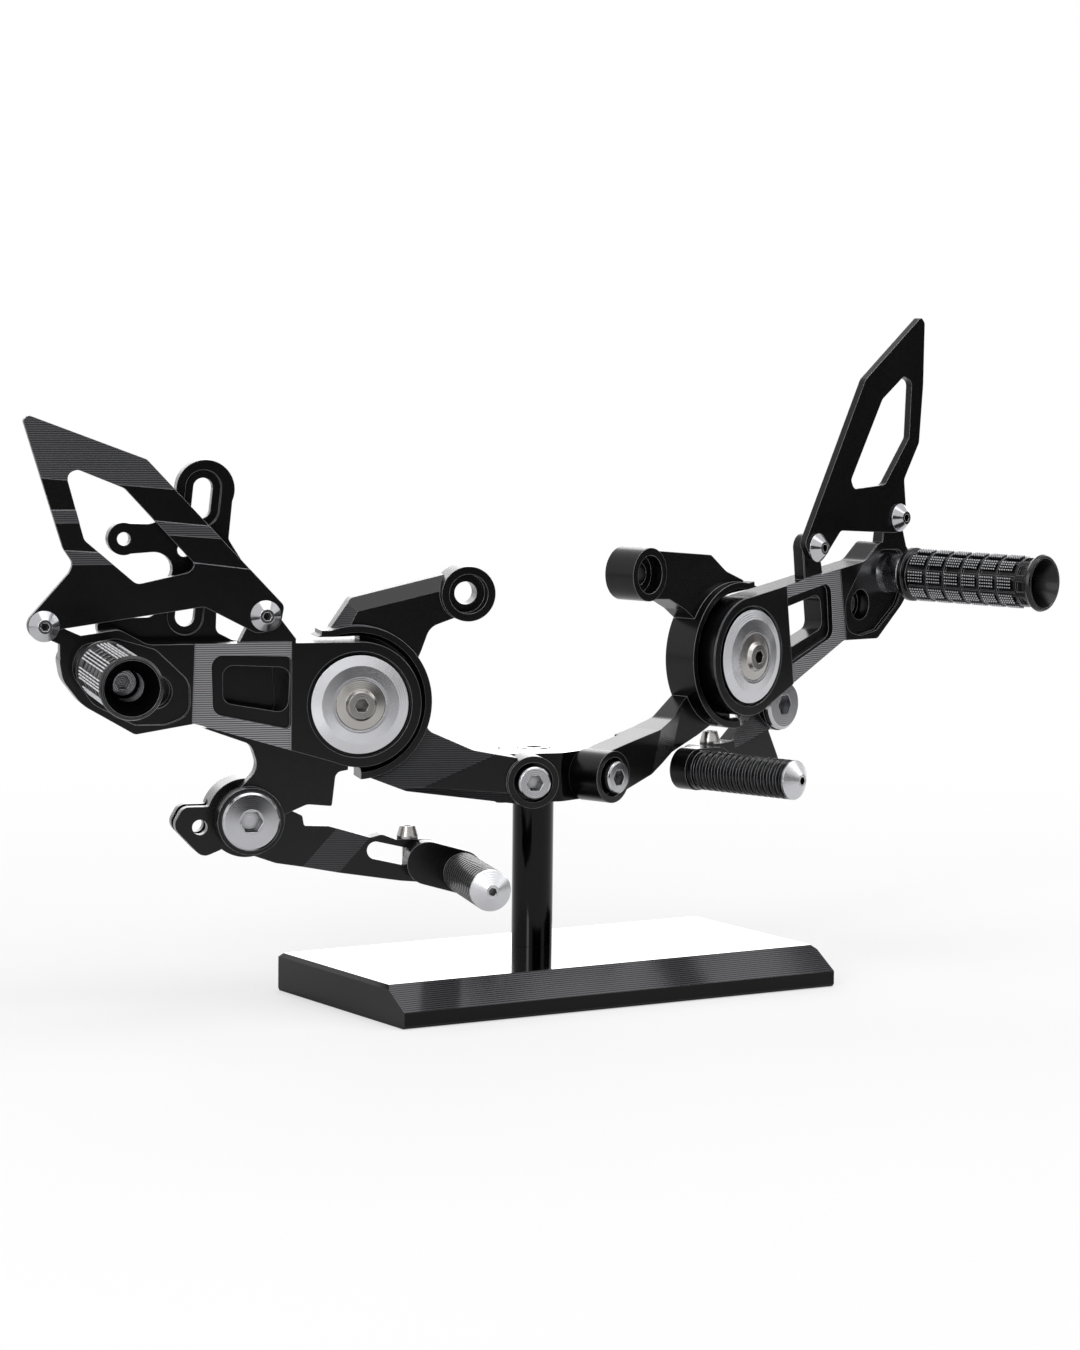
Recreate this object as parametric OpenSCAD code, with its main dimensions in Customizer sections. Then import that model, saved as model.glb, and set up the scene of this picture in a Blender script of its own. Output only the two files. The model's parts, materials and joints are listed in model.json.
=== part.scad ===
// A pair of adjustable motorcycle rearsets on their display stand.
// The brake side is on the left, the shift side on the right, seen from the front.
// Each side is drawn flat: X runs rightwards as seen from outside, Y is up, Z points outward,
// and the origin is the outer face of its lower mounting boss.
// Each arm is drawn in its own frame: X runs from the cover disc towards the footpeg.

/* [Stand] */
// Length of the base plate
base_w = 200; // [180:1:260]
// Depth of the base plate
base_d = 100; // [90:1:140]
// Thickness of the base plate
base_h = 15; // [12:0.5:20]
// Horizontal run of the wide front bevel
front_bevel_d = 14.5; // [8:0.5:20]
// Drop of the wide front bevel
front_bevel_h = 8.7; // [5:0.1:10]
// Small bevel on the back top edge
edge_bevel = 1.7; // [0.5:0.1:2.5]
// Small bevels on the end top edges
end_bevel = 1.5; // [0.5:0.1:2.5]
// Diameter of the post
post_d = 16.5; // [14:0.5:18]
// Distance of the post behind the middle of the base
post_y = 20; // [16:0.5:24]
// Height of the two lower mounting points above the table
mount_z = 85.2; // [80:0.1:110]
// Height of the head block
block_h = 19.5; // [18:0.5:24]
// Angle by which each side turns away from the front
splay = 18; // [14:0.5:22]
// Sideways distance of each seat on the head block from the middle
seat_x = 14.3; // [13.5:0.1:16]
// Distance of each seat behind the middle of the base
seat_y = 3.6; // [2:0.1:5]

/* [Frame plates] */
// Length of the lower mounting boss
boss_l = 14.5; // [13:0.5:18]
// Diameter of the lower mounting boss
boss_d = 20.8; // [19:0.1:24]
// Diameter of the upper mounting boss
upper_boss_d = 21.6; // [21:0.1:26]
// Length of the upper mounting boss
upper_boss_l = 14.5; // [12:0.5:16]
// Bore of the upper mounting boss
upper_bore_d = 9; // [8.2:0.1:10]
// Thickness of the upper arm between boss and housing
upper_arm_t = 11; // [9:0.5:13]
// Counterbore of the upper mounting boss
upper_recess_d = 15.5; // [14:0.1:17]
// Depth of that counterbore
upper_recess_h = 5.7; // [4:0.1:7]
// How far the plate reaches inboard of the lower boss
plate_step = 2; // [0:0.1:3]
// Outer radius of the housing round the arm's hub
housing_r = 30.2; // [29:0.1:33]
// Height of the housing rim above the plate's back
housing_h = 14.5; // [12:0.1:15.5]
// Thickness of the housing floor
floor_t = 9.2; // [6:0.1:10]
// Thickness of the lower arm at the boss
limb_t = 12.5; // [10:0.1:14]

/* [Arms] */
// Radius of the round hub of the arm
hub_r = 24.5; // [22:0.1:26]
// Thickness of the arm
arm_t = 12; // [10:0.1:14]
// Distance from the disc to the footpeg along the arm
peg_x = 101; // [96:0.5:108]
// Height of the footpeg above the disc's middle
peg_y = 15.9; // [13:0.1:18]
// Angle by which the shift arm is raised
shift_lift = 7.8; // [4:0.1:10]
// Width of the step round the arm's window
window_step = 4.5; // [3:0.1:5]
// Depth of that step
window_step_h = 3; // [1.5:0.1:5]
// Thickness of the lug that carries the brake lever
lug_t = 6; // [5:0.1:8]

/* [Cover discs] */
// Radius of the turned cover disc
disc_r = 19.25; // [17:0.05:20]
// How far the disc stands proud of the arm
disc_proud = 1.8; // [1:0.1:3]
// Thickness of the disc
disc_t = 4; // [3:0.1:5]
// Width of the dark gap round the disc
disc_gap = 1.5; // [0.8:0.1:2]
// Radius of the flange of the centre bolt
bolt_flange_r = 9.7; // [8:0.1:11]

/* [Heel guards] */
// Thickness of the heel guard
guard_t = 3; // [2:0.1:4]
// Radius of the round ears that take its screws
ear_r = 5.5; // [5.2:0.1:7]
// Thickness of those ears
ear_t = 5.5; // [4:0.1:9]
// Diameter of the conical screw heads
guard_head_d = 12; // [10:0.1:12.4]
// Height of the conical screw heads
guard_head_h = 4.2; // [3:0.1:5]

/* [Footpegs] */
// Length of the collar between the arm and the peg
collar_l = 10; // [8:0.1:14]
// Diameter of the collar at its thin end
collar_d = 16; // [14:0.1:18]
// Length of the peg
peg_l = 68.4; // [60:0.1:80]
// Diameter of the end flanges
peg_flange_d = 24; // [22:0.1:26]
// Diameter of the grip between its rings
grip_d = 19; // [17:0.1:20]
// Height of the rings and ribs over the grip
grip_rise = 0.9; // [0.6:0.1:1.2]
// Number of rings along the grip
ring_n = 5; // [4:1:6]
// Number of ribs round the grip
rib_n = 9; // [6:1:12]
// Bore for the peg's bolt
peg_bore_d = 8.2; // [8.1:0.1:9]

/* [Levers] */
// Diameter of the pivot shaft
pivot_d = 12; // [10:0.5:13]
// Radial running clearance in the lever's bushes
pivot_clear = 0.05; // [0.02:0.01:0.08]
// Wall of the bushes
bush_t = 2; // [1.5:0.1:2.5]
// Radius of the brake lever's hub
brake_hub_r = 15.5; // [14:0.1:17]
// Thickness of the brake lever's hub
brake_hub_t = 14; // [12:0.1:16]
// Thickness of the levers' blades
blade_t = 7.4; // [6:0.1:9]
// Radius of the shift lever's hub
shift_hub_r = 11; // [10.5:0.1:12]
// Gap between a lever and what it turns beside
side_gap = 0.4; // [0.3:0.1:0.6]
// Width of the slots in the levers
slot_w = 7; // [6.4:0.1:8]
// Length of the slots between their end centres
slot_l = 20; // [14:0.5:22]

/* [Toe pegs] */
// Offset of the toe peg on its eccentric link
link_l = 14; // [13:0.1:17]
// Radius of the round ends of the link
link_r = 8.5; // [8:0.1:9]
// Thickness of the link
link_t = 8; // [6:0.1:10]
// Diameter of the grooved toe peg
toe_d = 16; // [14:0.1:17]
// Length of the grooved toe peg
toe_l = 48.5; // [40:0.5:60]
// Number of grooves
groove_n = 14; // [8:1:16]
// Length of the turned cone at its tip
cone_l = 4.6; // [3:0.1:9]

/* [Hidden] */
$fn = 64;

// Overshoot of cutters past the faces they open
eps = 0.5;
// Radial clearance of a bolt in its hole
fit = 0.1;

// Anodised black, raw turned metal, titanium and grey collar
black = "#1c1c1e";
silver = "#c9c9cc";
titanium = "#a8a5a3";
grey = "#6e6f73";

// Depths along each side's outward axis
plate_back = -boss_l - plate_step;
upper_front = plate_back + upper_boss_l;
upper_arm_front = plate_back + upper_arm_t;
rim_front = plate_back + housing_h;
arm_back = plate_back + floor_t;
arm_front = arm_back + arm_t;
limb_front = -boss_l + limb_t;
lever_front = arm_back - side_gap;
blade_back = lever_front - blade_t;
lug_front = arm_back + lug_t;
guard_front = arm_front + guard_t;
peg_start = arm_front + collar_l;

// Places of the cover discs and upper mounts on each side
brake_disc = [-70.9, 32.5];
shift_disc = [83.6, 43];
brake_upper = [-26.3, 74.6];
shift_upper = [24.4, 79.5];

// Height left under the housing for the shift side's lock screw
lock_gap = 6.4;
// Half the height of a lever at its slot
lever_r = 8.6;
// Places of the levers' pivots and slot ends on each side
brake_pivot = [-113.4, -12.5];
brake_slot_end = [-42.2, -31.1];
shift_pivot = [119.5, 19.6];
shift_slot_end = [68.4, shift_disc[1] - housing_r - lock_gap - lever_r];
// Directions from each slot's end along the slot and to the toe peg
brake_slot_turn = 167;
shift_slot_turn = 0;
brake_link_turn = -15.7;
shift_link_turn = 178;
// Feet of the screws that lock the toe pegs in their slots
brake_lock = [-48.2, brake_slot_end[1] + lever_r];
shift_lock = [77.1, shift_slot_end[1] + lever_r];

// Mounting screws: M8 socket cap
m8_d = 8;
m8_head_d = 13;
m8_head_h = 8;
m8_hex = 6;
m8_grip = 16;
boss_recess_d = 15.8;
boss_recess_h = 5;

// Vectors and rounded outlines: each point is [x, y, corner radius]
function xy(p) = [p[0], p[1]];
function unit(v) = v / norm(v);
function heading(v) = atan2(v[1], v[0]);
function wrap(a) = a > 180 ? a - 360 : a < -180 ? a + 360 : a;
function arc_at(c, r, from, turn, n) =
    [for (i = [0:n]) c + r * [cos(from + turn * i / n), sin(from + turn * i / n)]];
function corner(a, b, c) =
    let (u = unit(xy(a) - xy(b)), v = unit(xy(c) - xy(b)), half = acos(u * v) / 2,
         r = b[2], mid = xy(b) + unit(u + v) * r / sin(half),
         from = heading(xy(b) + u * r / tan(half) - mid),
         to = heading(xy(b) + v * r / tan(half) - mid))
    arc_at(mid, r, from, wrap(to - from), 6);
function outline(p) =
    let (n = len(p))
    [for (i = [0:n - 1])
        each p[i][2] > 0 ? corner(p[(i + n - 1) % n], p[i], p[(i + 1) % n]) : [xy(p[i])]];

// Frames of the two sides and of the two arms
module on_side(sign) {
    outward = [sign * sin(splay), -cos(splay)];
    translate([sign * seat_x + outward[0] * boss_l, seat_y + outward[1] * boss_l, mount_z])
        rotate([90, 0, sign * splay]) children();
}
module brake_side() on_side(-1) children();
module shift_side() on_side(1) children();
module in_brake_arm() translate(brake_disc) mirror([1, 0, 0]) children();
module in_shift_arm() translate(shift_disc) rotate(shift_lift) children();
module brake_arm_frame() brake_side() in_brake_arm() children();
module shift_arm_frame() shift_side() in_shift_arm() children();

// A flat outline between two depths
module slab(points, back, front) {
    translate([0, 0, back]) linear_extrude(front - back) polygon(outline(points));
}
// A straight round between two depths
module rod(d, back, front, at = [0, 0]) {
    translate([at[0], at[1], back]) cylinder(d = d, h = front - back);
}
// A hexagonal socket sunk from a face
module socket(across, depth, face) {
    translate([0, 0, face - depth]) cylinder(d = across / cos(30), h = depth + eps, $fn = 6);
}
// A slot with round ends, from one end centre along X
module slot_cut(length, width, back, front) {
    rod(width, back, front);
    rod(width, back, front, [length, 0]);
    translate([0, 0.02 - width / 2, back]) cube([length, width - 0.04, front - back]);
}
// A socket cap screw: the underside of its head is at zero and its shank points down
module cap_screw(shank_d, length, head_d, head_h, across) {
    difference() {
        union() {
            rod(shank_d, -length, eps);
            rotate_extrude()
                polygon([[0, 0], [head_d / 2, 0], [head_d / 2, head_h - 0.6],
                         [head_d / 2 - 0.6, head_h], [0, head_h]]);
        }
        socket(across, head_h * 0.55, head_h);
    }
}
// A conical button screw, wide at its seat
module cone_screw(shank_d, length, head_d, head_h, across) {
    top_r = across / 2 + 1.3;
    difference() {
        union() {
            rod(shank_d, -length, eps);
            rotate_extrude()
                polygon([[0, 0], [head_d / 2, 0], [head_d / 2, 0.8], [top_r, head_h],
                         [0, head_h]]);
        }
        socket(across, head_h * 0.6, head_h);
    }
}

// Stand
module base_plate() {
    deep = base_d / 2;
    wide = base_w / 2;
    color(black)
    difference() {
        translate([-wide, 0, 0])
            rotate([90, 0, 90])
            linear_extrude(base_w)
            polygon([[-deep + 1, 0], [deep - 1, 0], [deep, 1], [deep, base_h - edge_bevel],
                     [deep - edge_bevel, base_h], [-deep + front_bevel_d, base_h],
                     [-deep, base_h - front_bevel_h], [-deep, 1]]);
        for (s = [-1, 1])
            translate([s * wide, 0, base_h])
                rotate([0, s * 45, 0])
                translate([-20, -base_d, -end_bevel / sqrt(2)])
                cube([40, 2 * base_d, 20]);
        translate([0, post_y, -eps]) cylinder(d = m8_d + 2 * fit, h = base_h + 2 * eps);
        translate([0, post_y, -eps]) cylinder(d = m8_head_d + 1, h = m8_head_h + eps + 0.3);
    }
}
block_bottom = mount_z - block_h / 2;
block_top = mount_z + block_h / 2;
head_seat = block_top - m8_head_h + 0.3;
module stand_post() {
    color(black)
    translate([0, post_y, 0])
    difference() {
        translate([0, 0, base_h]) cylinder(d = post_d, h = block_bottom - base_h);
        translate([0, 0, base_h - eps]) cylinder(d = m8_d + 2 * fit, h = m8_grip + eps);
        translate([0, 0, block_bottom - m8_grip])
            cylinder(d = m8_d + 2 * fit, h = m8_grip + eps);
    }
}
module post_screw() {
    color(silver)
    translate([0, post_y, m8_head_h + 0.3])
        rotate([180, 0, 0])
        cap_screw(m8_d, base_h - m8_head_h - 0.3 + m8_grip - 2, m8_head_d, m8_head_h, m8_hex);
}
module head_block() {
    face_u = [cos(splay), sin(splay)];
    apex_y = seat_y - seat_x * tan(splay);
    reach = 11.5;
    outer = [seat_x, seat_y] + face_u * reach;
    back_y = post_y + post_d / 2 + 3.5;
    color(black)
    difference() {
        translate([0, 0, block_bottom])
            linear_extrude(block_h)
            polygon(outline([[0, apex_y, 6], [outer[0], outer[1], 2],
                             [outer[0] - 3, outer[1] + 7, 5], [13, back_y - 8, 4],
                             [10, back_y, 4], [-10, back_y, 4], [-13, back_y - 8, 4],
                             [-outer[0] + 3, outer[1] + 7, 5], [-outer[0], outer[1], 2]]));
        translate([0, post_y, block_bottom - eps])
            cylinder(d = m8_d + 2 * fit, h = block_h + 2 * eps);
        translate([0, post_y, head_seat]) cylinder(d = m8_head_d + 1, h = m8_head_h + 2);
        for (s = [-1, 1])
            on_side(s) rod(m8_d + 2 * fit, -boss_l - m8_grip + 4, -boss_l + eps);
    }
}
module head_screw() {
    color(silver)
    translate([0, post_y, head_seat])
        cap_screw(m8_d, head_seat - block_bottom + m8_grip - 2, m8_head_d, m8_head_h, m8_hex);
}

// Housing of an arm's hub, in the arm's frame
bar_x = 14;
bar_y = hub_r + 1.6;
bar_low = bar_y - 0.15;
bar_top = housing_r - 1.8;
module housing_solid() {
    rod(2 * housing_r, plate_back, rim_front);
    translate([0, bar_low, arm_back]) cube([bar_x, bar_top - bar_low, rim_front - arm_back]);
    translate([0, bar_low - 3, plate_back + 1])
        cube([bar_x, bar_top - bar_low + 3, floor_t - 1]);
}
module housing_cut() {
    rod(2 * bar_y, arm_back, rim_front + eps);
    translate([-2, -housing_r - 1, arm_back])
        cube([housing_r + 20, housing_r + 1 + bar_low, rim_front - arm_back + eps]);
    translate([-2, -housing_r - 1, plate_back - eps])
        difference() {
            cube([housing_r + 20, housing_r + 1 + bar_low, floor_t + 2 * eps]);
            translate([2, housing_r + 1, -eps]) cylinder(r = hub_r, h = floor_t + 4 * eps);
        }
    // Bevel inside the rim
    translate([0, 0, rim_front - 1.5])
        cylinder(r1 = bar_y, r2 = bar_y + 1.5, h = 1.5 + 0.01);
    rod(m8_d + 2 * fit, plate_back - eps, arm_back + eps);
}
module bosses(upper) {
    rod(boss_d, -boss_l, 0);
    rod(upper_boss_d, plate_back, upper_front, upper);
}
module boss_cuts(upper) {
    rod(m8_d + 2 * fit, plate_back - eps, eps);
    rod(boss_recess_d, -boss_recess_h, eps);
    rod(upper_bore_d, plate_back - eps, upper_front + eps, upper);
    rod(upper_recess_d, upper_front - upper_recess_h, upper_front + eps, upper);
    // Room for the head block behind the lower boss
    translate([-boss_d, -boss_d, plate_back - eps])
        cube([2 * boss_d, 2 * boss_d, plate_step + eps]);
}
// A cut that falls away on the left of an edge line by drop over width, then runs level
module fall(from, to, width, drop, face, before = 60) {
    run = to - from;
    intersection() {
        translate([from[0], from[1], face])
            rotate(heading(run))
            rotate([-atan(drop / width), 0, 0])
            translate([-before, 0, 0])
            cube([norm(run) + before + 60, 80, 40]);
        translate([-300, -300, face - drop]) cube([600, 600, 60]);
    }
}
module brake_frame_plate() {
    color(black)
    brake_side()
    difference() {
        union() {
            bosses(brake_upper);
            difference() {
                slab([[-26.3, 84.6, 0], [-33, 82.1, 0], [-72, 72.9, 3], [-82.6, 57.2, 0],
                      [-70, 50, 0], [-50, 40, 0], [-44.5, 52, 0], [-41, 61.5, 7],
                      [-30, 65.4, 0]],
                     plate_back, upper_arm_front);
                fall([-69.9, 68], [-39.3, 75.1], 6, 5, upper_arm_front);
                fall([-73, 62], [-69.9, 68], 7, 5, upper_arm_front);
            }
            difference() {
                slab([[-44, 34, 0], [-41.2, 20.5, 4], [-23.6, 12.8, 12], [-6, 9.6, 0],
                      [-3, -9.4, 0], [-50.4, -2.9, 4], [-68.3, 3.9, 0], [-60, 14, 0]],
                     plate_back, limb_front);
                fall([-39.7, 0.4], [-15.9, 10.5], 20, 5, limb_front);
                fall([-11.9, -4.1], [-55, -0.2], 5.5, 4, limb_front);
            }
            in_brake_arm() housing_solid();
        }
        in_brake_arm() housing_cut();
        boss_cuts(brake_upper);
    }
}
// The shift side's limb is milled down here so that the toe peg's link passes in front
limb_drop = limb_front - lever_front + 0.8;
module shift_frame_plate() {
    color(black)
    shift_side()
    difference() {
        union() {
            bosses(shift_upper);
            slab([[24.4, 89.3, 0], [68.7, 85.1, 3], [79, 77.8, 10], [90.5, 73.6, 0],
                  [91, 66, 0], [84, 56, 0], [62, 53, 0], [60.2, 58.2, 0], [52, 63.6, 6],
                  [41.5, 68.4, 2], [31, 69, 0]],
                 plate_back, upper_arm_front);
            difference() {
                slab([[0, 10.2, 0], [14, 12.9, 8], [32, 16.1, 10], [45, 19.2, 8],
                      [58, 27.5, 0], [75, 32, 0], [80, 17, 0], [66, 11.2, 4], [37.4, 1.6, 6],
                      [10, -6.5, 0], [3, -9.8, 0]],
                     plate_back, limb_front);
                fall([33, 16.5], [27, -2], 18, limb_drop, limb_front);
            }
            in_shift_arm() housing_solid();
        }
        in_shift_arm() housing_cut();
        boss_cuts(shift_upper);
    }
}
module mount_screw() {
    color(silver)
    translate([0, 0, -boss_recess_h])
        cap_screw(m8_d, boss_l - boss_recess_h + m8_grip - 5, m8_head_d, m8_head_h, m8_hex);
}

// Arm outline, shared by both sides
arm_low = 16.4;
arm_points = [
    [0, 0, 0], [0, hub_r - 0.1, 0], [83, hub_r - 0.1, 8], [94, 30.4, 6], [110.5, 28, 6],
    [117.4, 20, 6],
    [115.8, 11, 10], [108.5, 1.6, 16], [88, -10.2, 3], [65, -6.4, 5],
    [hub_r * sin(arm_low) * 0.99, -hub_r * cos(arm_low) * 0.99, 0]];
window_points = [[28, -3.2, 4], [53.4, 1.2, 4], [53.4, 15.9, 4], [27, 14.6, 4]];
step_points = [[16, -14, 0], [26.8, -15.2, 0], [58.5, -3.8, 5], [59.6, 19.2, 5],
               [27, 19.2, 1], [26, 14.6, 0]];
second_hole = [79.8, 6];
peg_at = [peg_x, peg_y];
module arm_body(ears, taps) {
    difference() {
        union() {
            rod(2 * hub_r, arm_back, arm_front);
            slab(arm_points, arm_back, arm_front);
            for (e = ears) {
                rod(2 * ear_r, arm_front - ear_t, arm_front, [e[0], e[1]]);
                slab([[e[2], 20, 0], [e[3], 20, 0], [e[3], hub_r + 0.5, 0],
                      [e[0] + ear_r - 0.1, e[1] - 2, 0], [e[0] - ear_r + 0.1, e[1], 0],
                      [e[2], hub_r + 1.5, 0]], arm_front - ear_t, arm_front);
            }
        }
        // Window with its outer step
        slab(window_points, arm_back - eps, arm_front + eps);
        slab([[27, -9.5, 2], [57.6, -3, 4.5], [58.4, 20, 4.5], [27, 19.2, 2]],
             arm_front - window_step_h, arm_front + eps);
        // Shallow milled field round the window
        slab([[27.1, -25, 0], [66, -12, 0], [64.8, hub_r + eps, 0],
              [27.1, hub_r + eps, 0]], arm_front - 0.6, arm_front + eps);
        // Recess round the two peg holes
        slab([[76, -6.6, 5], [66.5, -3, 7], [66.8, 10, 8], [80, 22.5, 7], [95.5, 27, 7],
              [109, 24.6, 6], [113.3, 15, 9], [104, 1.6, 9], [88, -6.6, 5]],
             arm_front - 2, arm_front + eps);
        rod(8.3, arm_back - eps, arm_front + eps, second_hole);
        rod(13, arm_front - 8, arm_front + eps, second_hole);
        rod(m8_d + 2 * fit, arm_back - eps, arm_front + eps, peg_at);
        // Seat of the cover disc and its bolt
        rod(2 * (disc_r + disc_gap), arm_front - 2.5, arm_front + eps);
        rod(m8_d + 2 * fit, arm_back - eps, arm_front + eps);
        for (e = ears) rod(5.2, arm_front - ear_t - eps, arm_front + eps, [e[0], e[1]]);
        for (t = taps) rod(t[2] + 2 * fit, arm_back - eps, arm_back + 8, [t[0], t[1]]);
    }
}
brake_ears = [[37.9, 35.4, 25.3, 47.5], [123.4, 32.3, 104, 117]];
shift_ears = [[45.6, 37.3, 40, 52], [104.7, 39.4, 95, 113]];
lug_pivot = [brake_disc[0] - brake_pivot[0], brake_pivot[1] - brake_disc[1]];
pivot_head_d = 22.8;
pivot_ring_d = 26.2;
module brake_peg_arm() {
    color(black)
    brake_arm_frame()
    difference() {
        union() {
            arm_body(brake_ears, [for (h = bracket_screw_at)
                [brake_disc[0] - h[0], h[1] - brake_disc[1], 6]]);
            difference() {
                slab([[3.2, -24, 0], [3.4, -26.2, 0], [8.2, -27, 3], [9.7, -40.3, 0.8],
                      [19.5, -39.4, 4], [28, -43, 0], [lug_pivot[0], lug_pivot[1], 0],
                      [47.5, -34, 0], [38.6, -25, 7], [41.8, -15.5, 5], [60, -9, 0],
                      [40, -6, 0]],
                     arm_back, lug_front);
                slab(step_points, arm_back - eps, lug_front + eps);
            }
            rod(pivot_ring_d, arm_back, arm_front - 1, lug_pivot);
        }
        rod(pivot_d + 2 * fit, arm_back - eps, arm_front + eps, lug_pivot);
        rod(pivot_head_d + 0.4, arm_front - 3, arm_front + eps, lug_pivot);
    }
}
module shift_peg_arm() {
    color(black)
    shift_arm_frame()
    arm_body(shift_ears, [for (h = carrier_screw_at) [h[0], h[1], 5]]);
}
disc_seat = arm_front - 2.5;
module cover_disc() {
    top = arm_front + disc_proud;
    color(silver)
    difference() {
        translate([0, 0, disc_seat])
            rotate_extrude($fn = 96)
            polygon([[0, 0], [disc_r, 0], [disc_r, top - disc_seat - 1.6],
                     [disc_r - 4, top - disc_seat - 0.4], [bolt_flange_r + 1.5, top - disc_seat],
                     [0, top - disc_seat]]);
        rod(m8_d + 2 * fit, disc_seat - eps, top + eps);
        rod(2 * bolt_flange_r + 0.3, top - 1.2, top + eps);
    }
}
module centre_bolt() {
    seat = arm_front + disc_proud - 1.2;
    color(titanium)
    difference() {
        union() {
            rod(m8_d, plate_back, seat + eps);
            translate([0, 0, seat])
                rotate_extrude()
                polygon([[0, 0], [bolt_flange_r, 0], [bolt_flange_r, 1], [6.2, 1.8],
                         [5.2, 3.4], [0, 3.4]]);
        }
        socket(5, 5, seat + 3.4);
    }
}

// Heel guards, each between the arm's front and the screw heads
module guard_plate(points, window, holes, bands) {
    color(black)
    difference() {
        slab(points, arm_front, guard_front);
        slab(window, arm_front - eps, guard_front + eps);
        for (h = holes) rod(5.2, arm_front - eps, guard_front + eps, h);
        for (b = bands) slab(b, guard_front - 0.5, guard_front + eps);
    }
}
brake_guard_holes = [for (e = brake_ears) brake_disc + [-e[0], e[1]]];
shift_guard_holes = [for (e = shift_ears)
    shift_disc + [e[0] * cos(shift_lift) - e[1] * sin(shift_lift),
                  e[0] * sin(shift_lift) + e[1] * cos(shift_lift)]];
module brake_heel_guard() {
    brake_side()
    guard_plate(
        [[-202.2, 143.2, 1.5], [-200.1, 145.1, 1.5], [-154.8, 128.2, 3], [-101.4, 71.7, 3],
         [-103.1, 62.8, 5], [-112.1, 61, 5], [-132.6, 71.6, 4], [-187.6, 63.6, 3],
         [-196.8, 57.8, 5], [-202.1, 65.4, 5.5], [-184.6, 85.2, 3], [-183.2, 88.7, 3],
         [-187, 94.4, 4]],
        [[-185.8, 122.8, 3], [-181.4, 124.4, 3], [-163.3, 117.1, 4], [-135.9, 87.7, 2],
         [-138.6, 84.8, 2], [-158.7, 80.4, 4], [-178.8, 97.5, 4]],
        brake_guard_holes,
        [[[-210, 122.5, 0], [-120, 114.5, 0], [-120, 101.5, 0], [-150, 104.5, 0],
          [-180, 109, 0], [-210, 109, 0]],
         [[-210, 104, 0], [-178, 104, 0], [-150, 99.5, 0], [-110, 96.5, 0], [-104, 84.5, 0],
          [-136, 88.5, 0], [-160, 92, 0], [-210, 95, 0]]]);
}
module shift_heel_guard() {
    shift_side()
    guard_plate(
        [[195.9, 181.5, 2], [198.6, 179, 2], [198.3, 152.7, 10], [196, 127.8, 3],
         [185.5, 112.5, 3], [187, 101.5, 3], [189.2, 94.5, 5], [180.4, 89.7, 5], [140.4, 92.5, 3],
         [129.4, 82, 5], [121.4, 79.5, 5.5], [115.2, 88, 3], [156.2, 155.6, 4]],
        [[184, 156.5, 3], [189.9, 153.9, 3], [188.7, 130.1, 3], [171.5, 110.6, 4],
         [149.2, 109.6, 3], [147, 113.5, 2], [168.6, 147, 4]],
        shift_guard_holes, []);
}
module guard_screws(holes) {
    color(silver)
    for (h = holes)
        translate([h[0], h[1], guard_front])
            cone_screw(5, 10, guard_head_d, guard_head_h, 3);
}

// Plate behind the brake arm: slots for the master cylinder and an ear for its bottle
bracket_t = 6;
bracket_front = arm_back;
bracket_back = arm_back - bracket_t;
bracket_screw_at = [[-131.5, 34.5], [-124.7, 52.6]];
module cylinder_bracket() {
    color(black)
    brake_side()
    difference() {
        union() {
            slab([[-140.6, 115.9, 0], [-118.8, 115.9, 0], [-120.7, 96.4, 3], [-113.1, 84.4, 12],
                  [-114.7, 75.4, 3], [-125.3, 70.4, 5], [-125.6, 60.5, 3], [-119, 57.2, 3],
                  [-104, 55.5, 3], [-102, 28.5, 4], [-134, 27.5, 4], [-142, 33.4, 8],
                  [-147, 53, 4], [-171, 54, 3], [-172, 66, 3], [-149, 66.5, 4],
                  [-147.6, 78.4, 6], [-139.1, 84.4, 6], [-147.1, 91.9, 8], [-160, 91, 0],
                  [-162.3, 102.8, 0], [-150.1, 102.4, 8], [-142.1, 108.4, 3]],
                 bracket_back, bracket_front);
            rod(22.8, bracket_back, bracket_front, [-129.7, 115.8]);
            rod(12.6, bracket_back, bracket_front, [-161.5, 96.8]);
        }
        // Slots with their sunk borders
        for (s = [[-131.3, 108.2, 8.2], [-137.5, 66.4, 6]]) {
            translate([s[0], s[1], 0]) rotate(84) {
                slot_cut(s[2], 7.6, bracket_back - eps, bracket_front + eps);
                slot_cut(s[2], 14, bracket_front - 1.8, bracket_front + eps);
            }
        }
        rod(5.2, bracket_back - eps, bracket_front + eps, [-161.5, 96.8]);
        rod(5.2, bracket_back - eps, bracket_front + eps, [-138.1, 92.4]);
        for (h = bracket_screw_at) {
            rod(6.2, bracket_back - eps, bracket_front + eps, h);
            rod(11, bracket_back - eps, bracket_back + 3, h);
        }
    }
}
// Countersunk-style low heads, let into the back of the bracket
module back_screws(places, back, seat) {
    color(silver)
    for (h = places)
        translate([h[0], h[1], back + seat])
            rotate([180, 0, 0])
            difference() {
                union() {
                    rod(6, -(arm_back - back - seat) - 7, eps);
                    rod(10.4, 0, seat - 0.3);
                }
                socket(4, 1.8, seat - 0.3);
            }
}

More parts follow.
